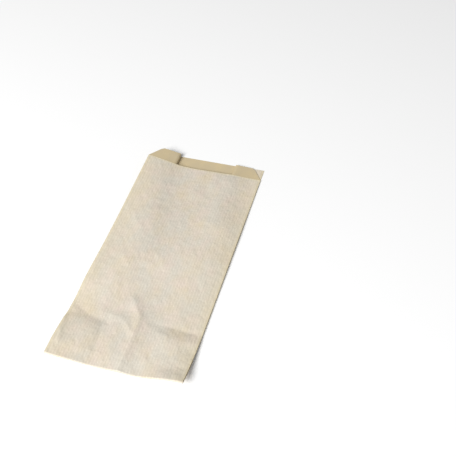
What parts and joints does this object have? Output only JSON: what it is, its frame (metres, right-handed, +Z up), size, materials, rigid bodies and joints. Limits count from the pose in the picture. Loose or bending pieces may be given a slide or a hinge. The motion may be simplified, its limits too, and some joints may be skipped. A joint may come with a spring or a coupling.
{
  "type": "paper bag",
  "caption": "Flat-folded ribbed kraft paper bag with side gussets, a folded block base and an open mouth whose front is cut lower than its back.",
  "frame": {"origin": "on the surface the folded bag lies on, under the middle of its length and width", "axes": "+Y from the base fold towards the open mouth, +X to the right of the front panel, +Z up out of the front panel"},
  "size_m": [0.1, 0.222, 0.0085],
  "materials": {
    "kraft_paper": "uncoated ribbed kraft, faint lengthwise stripes outside, plain and yellower inside"
  },
  "bodies": {
    "root": {"bag": "kraft_paper"}
  },
  "joints": []
}
